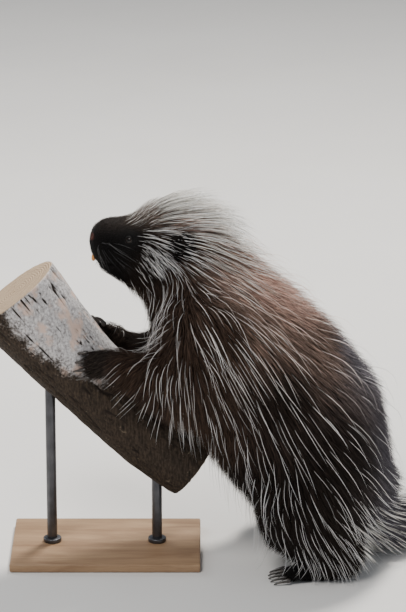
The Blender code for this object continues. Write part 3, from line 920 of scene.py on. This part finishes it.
# %% Growing the strands
log_tree = surface(NODES["perch_log"].data)
LOG_CLEARANCE = 0.0015
LOG_REACH = 0.03  # strands further from the log are left alone
NEAR_LOG = (-0.01, 0.43)  # strands before this x and below this z may meet the log
FLOOR_CLEARANCE = 0.0012
STRAY_ROOM = np.array((0.012, 0.006, 0.012))  # how far hairs may leave the solid outline's box
STRAY_BOX = np.array(cad_box) + np.outer((-1, 1), STRAY_ROOM)
ROOT_DEPTH = 0.0015  # of a strand's root in the skin
STRAY = 1.4  # how far strands spread, for each part of their wave
HANG_RATE = 3  # how soon a strand that points off the skin hangs free of it
STEEPEST = (-0.6, 1.0)  # how sharply a strand turns down or up to its layer


def clear_of_log(points):
    for index in np.flatnonzero((points[:, 0] < NEAR_LOG[0]) & (points[:, 2] < NEAR_LOG[1])):
        place, normal, _, _ = log_tree.find_nearest(points[index], LOG_REACH)
        if place is not None:
            under = LOG_CLEARANCE - (Vector(points[index]) - place).dot(normal)
            if under > 0:
                points[index] += np.array(normal) * under


def grown(roots, normals, steps, length, layer, wave=0.05, stiff=0.35, lift=0.5):
    """The points of each strand, and the skin's normals beside them. A layer of 1 is the coat's top."""
    count = len(roots)
    phase = RANDOM.random((count, 1)) * 2 * math.pi
    turns = RANDOM.uniform(0.5, 1.5, (count, 1))
    stray = RANDOM.normal(0, 1, (count, 3)) * wave * STRAY
    stride = (length / steps)[:, None]
    here = roots - normals * ROOT_DEPTH
    way = combed(roots)[0]
    heading = unit(way - normals * np.minimum((way * normals).sum(1), 0)[:, None] + normals * lift)
    points, ups = [here], [normals]
    for step in range(steps):
        _, normal, height = nearest(here)
        way, _, depth = combed(here)
        lead = (way * normal).sum(1)
        hanging = np.clip(lead * HANG_RATE, 0, 1)
        way = way - normal * np.minimum(lead, 0)[:, None]
        rise = np.clip((layer * depth - height) / stride[:, 0], STEEPEST[0] * (1 - hanging), STEEPEST[1])
        aside = np.cross(way, normal)
        swing = np.sin(phase + 2 * math.pi * turns * (step + 1) / steps) * wave
        way = unit(way + normal * rise[:, None] + aside * swing + stray)
        heading = unit(heading * stiff + way * (1 - stiff))
        here = here + heading * stride
        here = np.clip(here, *STRAY_BOX)
        here[:, 2] = np.maximum(here[:, 2], FLOOR_CLEARANCE)
        clear_of_log(here)
        points.append(here)
        ups.append(normal)
    return np.stack(points, 1), np.stack(ups, 1)


def point_tree(points):
    tree = KDTree(len(points))
    for index, point in enumerate(points):
        tree.insert(point, index)
    tree.balance()
    return tree


def clumped(points, every, amount):
    """Pulls each strand's end towards a neighbour's, so that the coat falls in locks."""
    roots = points[:, 0]
    tree = point_tree(roots[::every])
    guides = np.array([tree.find(root)[1] for root in roots.tolist()]) * every
    share = (np.linspace(0, 1, points.shape[1]) ** 1.6 * amount)[None, :, None]
    return points * (1 - share) + points[guides] * share


print("growing ready")

# %% From points to a closed mesh
PATCH = 0.003  # of a strand on the export's map


def strand_faces(rings):
    """The corner numbers of one strand's faces: quads round the rings, a pointed tip and a cap."""
    around = ((0, 1), (1, 2), (2, 0))
    lowest = range(0, 3 * rings - 3, 3)
    quads = [(low + one, low + two, low + 3 + two, low + 3 + one) for low in lowest for one, two in around]
    last = 3 * rings - 3
    return quads + [(last + one, last + two, last + 3) for one, two in around] + [(2, 1, 0)]


def strand_patch(rings):
    """Where each corner lies in the strand's patch of the map. Even the cap has some width there."""
    patch = []
    for ring in range(rings - 1):
        low, high = ring / rings, (ring + 1) / rings
        for corner in range(3):
            left, right = corner / 3, (corner + 1) / 3
            patch += [(left, low), (right, low), (right, high), (left, high)]
    for corner in range(3):
        patch += [(corner / 3, 1 - 1 / rings), ((corner + 1) / 3, 1 - 1 / rings), ((corner + 0.5) / 3, 1)]
    return np.array(patch + [(0.9, -0.02), (0.5, -0.12), (0.1, -0.02)]) - 0.5


def profile(rings, power=2.2):
    """How thick a strand is at each ring, from a slender root to the tip."""
    share = np.arange(rings) / rings
    return (1 - share**power) * np.minimum(1, 0.45 + share * 3)


def strand_mesh(name, flat, points, ups, width, colours, maps):
    """One mesh of many strands. Colours are given for each strand and point."""
    count, stations = points.shape[:2]
    rings = stations - 1
    ahead = unit(np.gradient(points, axis=1))
    aside = unit(np.cross(ahead, ups))
    above = np.cross(aside, ahead)
    radius = width[:, None, None] * profile(rings)[None, :, None] / 2
    aside, above = aside[:, :rings] * radius, above[:, :rings] * radius * flat
    middle = points[:, :rings]
    ring = np.stack([middle - aside - above * 0.5, middle + aside - above * 0.5, middle + above], 2)
    body = np.concatenate([ring.reshape(count, rings * 3, 3), points[:, -1:]], 1)
    each = body.shape[1]
    faces = strand_faces(rings)
    sizes = np.tile([len(face) for face in faces], count)
    loops = (np.concatenate(faces)[None] + np.arange(count)[:, None] * each).ravel()
    mesh = bpy.data.meshes.new(name)
    mesh.vertices.add(count * each)
    mesh.vertices.foreach_set("co", body.ravel())
    mesh.loops.add(len(loops))
    mesh.loops.foreach_set("vertex_index", loops)
    mesh.polygons.add(len(sizes))
    mesh.polygons.foreach_set("loop_start", np.cumsum(sizes) - sizes)
    mesh.update(calc_edges=True)
    spots = maps[:, None] + strand_patch(rings)[None] * PATCH
    mesh.uv_layers.new(name="OFBake").data.foreach_set("uv", np.clip(spots, 0.0005, 0.9995).ravel())
    shades = np.concatenate([np.repeat(colours[:, :rings], 3, axis=1), colours[:, -1:]], 1)
    mark(mesh, paint=shades.reshape(-1, 3))
    return mesh


print("one strand of four rings has", len(strand_faces(4)), "faces")

# %% The finish of the fur
def fur_look(rough):
    def look(wires):
        grain = wires.noise(wires.place(), 700, detail=2)
        fleck = grain.mixed((0.70, 0.70, 0.70), (1.25, 1.25, 1.25))
        return {
            "Base_Color": wires.attribute("paint", "Color").tinted(fleck),
            "Roughness": rough + grain * 0.15,
            "Normal": wires.bump(grain, 0.0003, 0.3),
        }

    return look


FUR = finish("soft under-fur", fur_look(0.60), Specular_IOR_Level=0.12)
GUARD = finish("guard hair", fur_look(0.38), Specular_IOR_Level=0.35)
print("fur finishes ready")

# %% [markdown]
# ## Kinds of hair
# Every kind of hair but the whiskers is grown by one function. What sets the kinds apart is where
# they are rooted, how long, thick and curved they are, how they are coloured and whether they cling
# in locks. So a kind is one call with those facts. Under-fur hides the skin and guard hairs make the
# outline. The head's pale hairs, the ears' dark ones and the quills are laid over them.

# %% One function for every kind
MOST_TRIANGLES = 195_000  # in one piece
EYE_CLEARANCE = 0.0012


def settle_strands(name, material, flat, *strands):
    """Splits the strands, front to back, into pieces that stay below the limit."""
    points = strands[0]
    triangles = 6 * (points.shape[1] - 1) - 2
    parts = math.ceil(len(points) * triangles / MOST_TRIANGLES)
    order = np.argsort(points[:, 0, 0], kind="stable")
    for number, chosen in enumerate(np.array_split(order, parts), 1):
        mesh = strand_mesh(name, flat, *(array[chosen] for array in strands))
        settled(piece(f"{name}_{number}", mesh, material), COAT_SLOT)
    print(name, len(points), "strands in", parts, "pieces,", len(points) * triangles, "triangles")


def off_the_eyes(points):
    """Which strands keep clear of the eyes."""
    free = np.ones(len(points), bool)
    for centre in EYE_CENTRES.values():
        distance = np.linalg.norm(points - np.array(centre), axis=2).min(1)
        free &= distance > EYE_RADIUS + EYE_CLEARANCE
    return free


def shaded(base, stations, root, tip, jitter):
    """Each strand's colours from its root to its tip, with a tone of its own."""
    share = np.linspace(0, 1, stations)[None, :, None] ** 0.6
    tone = np.exp(RANDOM.normal(0, jitter, (len(base), 1, 1)))
    return np.clip(base[:, None] * (root + (tip - root) * share) * tone, 0, 1)


def hair(
    name, material, count, steps, where, colour, shades, *, lengths, layers, thick, flat,
    widths=(0.7, 1.3), reach=None, usual=1.0, power=0.0, locks=None, tip=1.0, **growth,
):
    """Grows one kind of hair. Lengths, layers and widths are ranges.

    The lengths are shares of the coat's length, or of the reach where one is given. The width is
    thick where the coat has its usual length, and changes with that length by a power."""
    roots, normals, maps = rooted(count, where)
    full = combed(roots)[1]
    length = (full if reach is None else reach) * RANDOM.uniform(*lengths, count)
    points, ups = grown(roots, normals, steps, length, RANDOM.uniform(*layers, count), **growth)
    if locks:
        points = clumped(points, *locks)
    width = thick * (full / usual) ** power * RANDOM.uniform(*widths, count)
    colours = shaded(colour(roots), steps + 1, *shades)
    colours[:, -1] *= tip
    keep = off_the_eyes(points)
    settle_strands(name, material, flat, *(array[keep] for array in (points, ups, width, colours, maps)))


# %% The body's fur, from thick to fine
def ground(roots):
    """The under-fur's own colour."""
    return marked(roots)[0]


def silvery(roots):
    """Silver, warmed where the ground is pale enough to shine through."""
    brightest = ground(roots).max(1, keepdims=True)
    share = np.clip(brightest * 2.2, 0, 0.7)
    tint = 1 - share + ground(roots) / brightest * share
    return np.array(SILVER) * tint * RANDOM.uniform(0.6, 1.2, (len(roots), 1))


def where_deep(points):
    _, length, depth = combed(points)
    return (depth > 0.0035) / np.maximum(length, 0.02)


def where_pale(points):
    _, length, depth = combed(points)
    return (depth > 0.0040) * marked(points)[1] / np.maximum(length, 0.03)


def where_short(points):
    """The nose, the eyes' surround, the chin and the paws."""
    _, length, depth = combed(points)
    return (depth < 0.0070) * (from_nostril(points) > NOSTRIL_REACH * 0.8) / np.maximum(length, 0.005)


hair(
    "under_fur", FUR, 90000, 2, where_deep, ground, (0.55, 1.35, 0.35), lengths=(0.36, 0.66),
    layers=(0.15, 0.95), thick=0.0015, usual=0.08, power=0.6, flat=0.35, locks=(6, 0.18), wave=0.06,
)
hair(
    "guard_hair", GUARD, 1600, 7, where_pale, silvery, (0.05, 1.25, 0.1), lengths=(0.70, 1.35),
    layers=(0.7, 1.2), widths=(0.7, 1.35), thick=0.00080, usual=0.09, power=0.3, flat=0.8,
    locks=(3, 0.18), wave=0.04, stiff=0.6,
)
hair(
    "short_fur", FUR, 24000, 2, where_short, ground, (0.5, 1.9, 0.35), lengths=(0.6, 1.0),
    layers=(0.1, 0.8), thick=0.00055, usual=0.008, power=0.5, flat=0.4, wave=0.06,
)

# %% The pale hair of the head
PALE_START = (-0.172, -0.148)  # foremost x of these hairs, on the brow and at the eye's height
# Each: strands, middle of the area, its reach, length, layer, lift, width, colour
PALE_AREAS = {
    "brow_hair": (250, (-0.150, 0.006, 0.489), 0.036, 0.028, (0.4, 1.2), 0.08, 0.0007, CREAM),
    "crest_hair": (500, (-0.100, 0.006, 0.500), 0.055, 0.088, (0.1, 0.85), 0.0, 0.0011, CREAM),
    "nape_hair": (300, (-0.045, 0.030, 0.470), 0.070, 0.090, (0.6, 1.15), 0.12, 0.0009, CREAM),
    "cheek_hair": (330, (-0.129, 0.042, 0.447), 0.032, 0.024, (0.5, 1.6), 0.20, 0.0006, SILVER),
    "temple_hair": (170, (-0.098, 0.052, 0.457), 0.045, 0.042, (0.9, 1.5), 0.40, 0.0008, SILVER),
}


def varied(colour, low, high):
    """One colour, brighter or darker from strand to strand."""
    return lambda roots: np.array(colour) * RANDOM.uniform(low, high, (len(roots), 1))


def area(place, reach):
    """Where an area's hairs are rooted: dense in its middle, and behind the bare part of the face."""

    def where(points):
        away = (points * (1, 0, 1) + np.abs(points) * (0, 1, 0) - place) * (0.75, 1.0, 1.0)
        inside = fading(np.linalg.norm(away, axis=1), reach)
        eye_height = EYE_CENTRES["left"].z
        front = np.interp(points[:, 2] - eye_height, (0.010, 0.020), PALE_START[::-1])
        return inside * np.clip((points[:, 0] - front) / 0.012, 0, 1) * (combed(points)[2] > 0.0015)

    return where


for name, (count, place, reach, length, layers, lift, width, colour) in PALE_AREAS.items():
    hair(
        name, GUARD, count, 5, area(place, reach), varied(colour, 0.5, 1.15), (0.02, 1.25, 0.15),
        lengths=(0.7, 1.2), layers=layers, widths=(0.7, 1.35), thick=width, flat=0.8, reach=length,
        locks=(3, 0.25), wave=0.05, stiff=0.75, lift=lift,
    )


# %% Dark hair over the ears, and quills
EARS = [np.mean(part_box(f"{side}_ear"), axis=0) for side in SIDES]


def where_ears(points):
    away = [np.linalg.norm(points - centre + (0.006, 0, -0.004), axis=1) for centre in EARS]
    return fading(np.minimum(*away), 0.026)


def where_quills(points):
    """The tail, and the lowest part of the back."""
    back = np.clip((points[:, 0] - 0.140) / 0.03, 0, 1)
    low = np.clip((0.100 - points[:, 2]) / 0.03, 0, 1) * (points[:, 2] > 0.012)
    on_tail = np.clip((points[:, 0] - 0.20) / 0.03, 0, 1)
    return back * low * np.clip(np.abs(points[:, 1]) / 0.05, 0.25, 1) * (1 - 0.6 * on_tail)


hair(
    "ear_hair", FUR, 700, 3, where_ears, lambda roots: np.full((len(roots), 3), INK), (0.8, 1.6, 0.3),
    lengths=(0.018, 0.032), layers=(0.6, 1.6), thick=0.0013, flat=0.5, reach=1.0, locks=(5, 0.4),
    wave=0.10, stiff=0.5,
)
hair(
    "tail_quills", GUARD, 420, 3, where_quills, varied(CREAM, 0.7, 1.05), (1.0, 1.0, 0.1),
    lengths=(0.7, 1.1), layers=(0.8, 1.7), widths=(0.7, 1.2), thick=0.0019, flat=1.0, tip=0.10,
    wave=0.05, stiff=0.85,
)


# %% Whiskers
WHISKER_ROWS = 3
WHISKERS_IN_ROW = 6
WHISKER_STEPS = 7
WHISKER_WIDTH = 0.0005
WHISKER_BEND = np.array((0.30, 0.0, -0.22))


def whiskers():
    """Long, stiff hairs from the sides of the nose, in rows."""
    roots, ways = [], []
    for sign in SIDES.values():
        for row in range(WHISKER_ROWS):
            for number in range(WHISKERS_IN_ROW):
                back = number / (WHISKERS_IN_ROW - 1)
                place = (-0.196 + 0.026 * back, 0.024 + 0.010 * back, 0.432 + 0.009 * row + 0.003 * back)
                roots.append(mirrored(place, sign))
                ways.append(mirrored((-0.10 + 0.75 * back, 0.75, -0.35 + 0.22 * row), sign))
    roots = np.array(roots) + RANDOM.normal(0, 0.0012, (len(roots), 3))
    places, normals, _ = nearest(roots)
    ways = unit(np.array(ways) + RANDOM.normal(0, 0.10, roots.shape))
    length = RANDOM.uniform(0.024, 0.052, len(roots))[:, None, None]
    share = np.linspace(0, 1, WHISKER_STEPS + 1)[None, :, None]
    bent = ways[:, None] * share + WHISKER_BEND * share**2
    points = (places - normals * 0.001)[:, None] + length * bent
    ups = np.repeat(normals[:, None], WHISKER_STEPS + 1, axis=1)
    colours = shaded(np.full(roots.shape, 0.032), WHISKER_STEPS + 1, 0.35, 1.9, 0.6)
    maps = rooted(len(roots), lambda middles: (middles[:, 0] < -0.18) * 1.0)[2]
    width = np.full(len(roots), WHISKER_WIDTH)
    settle_strands("whiskers", GUARD, 1.0, points, ups, width, colours, maps)


whiskers()

# %% [markdown]
# ## The log
# The perch is a cut length of a leaning trunk. Its upper side is pale grey with dark slits: the grey
# is partly weathered wood and partly painted light where the log faces up and to the animal's left,
# and the slits are darkened with painted shade. Its underside keeps a brown, ridged bark, darkened
# partly as painted shade. A grid is wrapped round the log's curve, with its first and last rows
# closing over the sawn ends. Ridges and slits come from noise that is stretched along the grain, so
# that they are real relief and not only shading.

# %% The log's form
LOG_CURVE = [Vector(point) for point in ((-0.3092, 0, 0.374), (-0.1952, 0, 0.222), (-0.0642, 0, 0.129))]
LOG_RADIUS = 0.054
LOG_FLARE = 0.012
SAWN_ROWS = 0.09  # the share of the grid's rows on each sawn end
LOG_COLUMNS = 200
LOG_ROWS = 260
BARK_RELIEF = 0.0042


def log_point(share):
    start, middle, end = LOG_CURVE
    return start * (1 - share) ** 2 + middle * 2 * share * (1 - share) + end * share**2


def log_radius(share):
    return (LOG_RADIUS + LOG_FLARE * (1 - share) ** 3) * (1 + 0.025 * math.sin(9 * share + 0.6))


def bark(angle, share):
    """How far the bark lies under the log's outline, from 0 to 1."""
    round_about = Vector((math.cos(angle), math.sin(angle), 0))
    along = share * 4.2
    wander = noise.noise(Vector((*(round_about * 1.3).xy, along * 1.5))) * 0.25
    grain = Vector((*(round_about * 6.5).xy, along * 0.9 + wander))
    plates = abs(noise.noise(grain)) * 2.2
    ridges = abs(noise.noise(Vector((*(round_about * 11).xy, along * 2.6 + 5)))) * 1.3
    chips = noise.noise(Vector((*(round_about * 9).xy, along * 9 + 9))) * 0.5 + 0.5
    gaps = noise.noise(Vector((*(round_about * 2.2).xy, along * 2.4 + 31))) * 2 + 0.45
    slit = max(0.0, 1 - plates * 4.2) * min(max(gaps, 0.0), 1.0)
    return min(1.0, 0.75 * slit**1.5 + 0.30 * (1 - min(ridges, 1)) + 0.22 * chips)


def log_place(u, v):
    share = min(max((v - SAWN_ROWS) / (1 - 2 * SAWN_ROWS), 0.0), 1.0)
    from_rim = max(SAWN_ROWS - v, v - 1 + SAWN_ROWS, 0.0) / SAWN_ROWS
    ahead = (log_point(min(share + 0.01, 1)) - log_point(max(share - 0.01, 0))).normalized()
    across = Vector((0, 1, 0))
    above = across.cross(ahead)
    angle = 2 * math.pi * u
    radius = log_radius(share) - BARK_RELIEF * bark(angle, share)
    rounding = 0.0
    if from_rim > 0:
        radius *= (1 - from_rim) * 0.985
        rounding = 0.0008 * noise.noise(Vector((radius * 260, angle, share * 5)))
    out = across * math.cos(angle) + above * math.sin(angle)
    return log_point(share) + out * radius + ahead * rounding


log_shape = wrapped(LOG_COLUMNS, LOG_ROWS, log_place)
print("log of", len(log_shape.faces), "faces")


# %% The log's finish
def log_look(wires):
    here = wires.place()
    along = wires.place((1.0, 1.0, 0.16), (0, math.radians(40), 0))
    sawn = wires.attribute("sawn")
    speck = wires.noise(here, 300, detail=5, roughness=0.7)
    patch = wires.noise(here, 38, detail=4)
    grain = wires.noise(along, 420, detail=4)
    lichen = wires.noise(here, 75, detail=5, roughness=0.65, distortion=0.6)
    grey = (speck * 0.8 + grain * 0.4).over(0.35, 0.85).mixed((0.16, 0.145, 0.14), (0.74, 0.71, 0.70))
    warm = patch.over(0.52, 0.66).mixed(grey, (0.62, 0.46, 0.38))
    # The underside's brown is the bark's own colour, darkened partly as painted shade
    brown = (grain * 0.7 + speck * 0.4).over(0.3, 0.85).mixed((0.007, 0.005, 0.0036), (0.072, 0.050, 0.034))
    crusted = lichen.over(0.62, 0.70).mixed(brown, (0.14, 0.108, 0.075))
    # Pale grey where the log faces up and to the animal's left: partly weathered wood, partly painted light
    weathered_and_lit = (wires.attribute("pale") + patch * 0.8 - 0.4 + (speck - 0.5) * 0.5).over(0.32, 0.62)
    # Painted shade: the bark's crevices go almost black
    dark = wires.attribute("deep").over(0.38, 0.75)
    bark_colour = dark.mixed(weathered_and_lit.mixed(crusted, warm), (0.018, 0.012, 0.009))
    turns = wires.attribute("rings") * 14 + patch * 1.2
    ring = turns.math("PINGPONG", turns, 0.5) * 2
    wood = (ring * 0.75 + speck * 0.25).mixed((0.20, 0.125, 0.070), (0.66, 0.50, 0.34))
    old = wires.noise(here, 120).over(0.66, 0.74).mixed(wood, (0.24, 0.17, 0.11))
    height = grain * 0.5 + speck * 0.5 + lichen * 0.3 + ring * sawn * 0.3
    return {
        "Base_Color": sawn.mixed(bark_colour, old),
        "Roughness": 0.80 + speck * 0.15,
        "Normal": wires.bump(height, 0.0016, 0.8),
    }


LIT_AND_WEATHERED_SIDE = Vector((0.62, -0.50, 0.60)).normalized()  # the side painted pale: partly weathered wood, partly painted light
PALE_FROM, PALE_OVER = 0.235, 0.075  # the height where that starts, and its soft edge
AXIS_POINTS = 240  # on the log's curve, to measure from


def log_piece():
    made = piece("bark_log", log_shape, finish("weathered bark", log_look, Specular_IOR_Level=0.25))
    points = read(made.data.vertices, "co")
    normals = read(made.data.vertex_normals, "vector")
    shares = np.linspace(0, 1, AXIS_POINTS)
    axis = np.array([log_point(share) for share in shares])
    radii = np.array([log_radius(share) for share in shares])
    tree = point_tree(axis)
    number = np.array([tree.find(point)[1] for point in points.tolist()])
    out = points - axis[number]
    distance = np.linalg.norm(out, axis=1)
    ends = unit(np.array([(axis[0] - axis[1]), (axis[-1] - axis[-2])]))
    facing = np.maximum(normals @ ends[0], normals @ ends[1])
    at_end = (number == 0) | (number == len(axis) - 1)
    sawn = np.clip((facing - 0.6) / 0.2, 0, 1) * at_end
    # Paler higher up and towards that side: partly weathered wood, partly painted light
    height = np.clip((points[:, 2] - PALE_FROM) / PALE_OVER, 0, 1)
    pale = np.clip(unit(out) @ np.array(LIT_AND_WEATHERED_SIDE) * 0.9 + 0.22, 0, 1) * (0.15 + 0.85 * height)
    # How far the bark lies under the outline; the finish paints shade into these crevices
    deep = np.clip((radii[number] - distance) / BARK_RELIEF, 0, 1) * (1 - sawn)
    mark(made.data, pale=pale, deep=deep, rings=distance / LOG_RADIUS, sawn=sawn)
    return settled(made, "log_bark", "perch_log")


log_piece()
print("log finished")

# %% [markdown]
# ## The stand
# The stand is plain on purpose: a board with eased edges, and two steel rods that carry the log. A
# short collar hides each hole in the board. A bevel on the board matters more than it seems: a
# perfectly sharp edge catches no light, and looks false.

# %% The stand's finishes
def board_look(wires):
    bands = wires.noise(wires.place((0.12, 1.0, 0.6)), 46, detail=4, distortion=0.8)
    pores = wires.noise(wires.place((0.05, 1.0, 1.0)), 900, detail=2)
    tone = (bands * 0.75 + pores * 0.3).over(0.3, 0.8)
    return {
        "Base_Color": tone.mixed((0.235, 0.135, 0.070), (0.43, 0.28, 0.16)),
        "Roughness": 0.40 + pores * 0.2,
        "Normal": wires.bump(pores + bands * 0.3, 0.0004, 0.5),
    }


def steel_look(wires):
    brushed = wires.noise(wires.place((1.0, 1.0, 0.05)), 800)
    worn = wires.noise(wires.place(), 60, detail=4)
    return {
        "Base_Color": worn.mixed((0.055, 0.055, 0.060), (0.16, 0.16, 0.17)),
        "Roughness": 0.32 + brushed * 0.25,
        "Normal": wires.bump(brushed, 0.0001, 0.4),
    }


WOOD = finish("oiled beech", board_look, Specular_IOR_Level=0.4)
STEEL = finish("blackened steel", steel_look, Metallic=1.0)
print("two finishes of the stand")

# %% The board and the rods
BOARD_EDGE = 0.0025
COLLAR_RADIUS = 0.0125
COLLAR_HEIGHT = 0.006
ROD_EDGE, COLLAR_EDGE = 0.0006, 0.0012
ROD_REACH = 0.006  # how far a rod goes on into the bark


def eased(shape, width, sharp=math.radians(40)):
    edges = [edge for edge in shape.edges if edge.calc_face_angle(0) > sharp]
    settings = {"affect": "EDGES", "segments": 3, "profile": 0.5, "material": -1}
    bmesh.ops.bevel(shape, geom=edges, offset=width, **settings)
    return shape


def board():
    low, high = corners("stand_base")
    shape = bmesh.new()
    bmesh.ops.create_cube(shape, size=1.0)
    bmesh.ops.scale(shape, verts=shape.verts, vec=high - low)
    bmesh.ops.translate(shape, verts=shape.verts, vec=(low + high) / 2)
    return eased(shape, BOARD_EDGE)


def turned(radius, bottom, top, middle, edge):
    """An upright round piece with eased ends."""
    shape = bmesh.new()
    size = {"radius1": radius, "radius2": radius, "depth": top - bottom, "segments": 48}
    bmesh.ops.create_cone(shape, cap_ends=True, **size)
    bmesh.ops.translate(shape, verts=shape.verts, vec=(*middle, (top + bottom) / 2))
    return eased(shape, edge)


def rod(name):
    low, high = corners(name)
    middle = ((low + high) / 2).xy
    top_of_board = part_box("stand_base")[1][2]
    shape = turned((high.x - low.x) / 2, low.z, high.z + ROD_REACH, middle, ROD_EDGE)
    collar = turned(COLLAR_RADIUS, top_of_board, top_of_board + COLLAR_HEIGHT, middle, COLLAR_EDGE)
    return joined(shape, collar)


settled(piece("stand_board", board(), WOOD), "stand_wood", "stand_base")
for place in ("front", "rear"):
    made = piece(f"stand_pole_{place}", rod(f"stand_rod_{place}"), STEEL)
    settled(made, "stand_steel", f"stand_rod_{place}")
print("board and two rods in place")
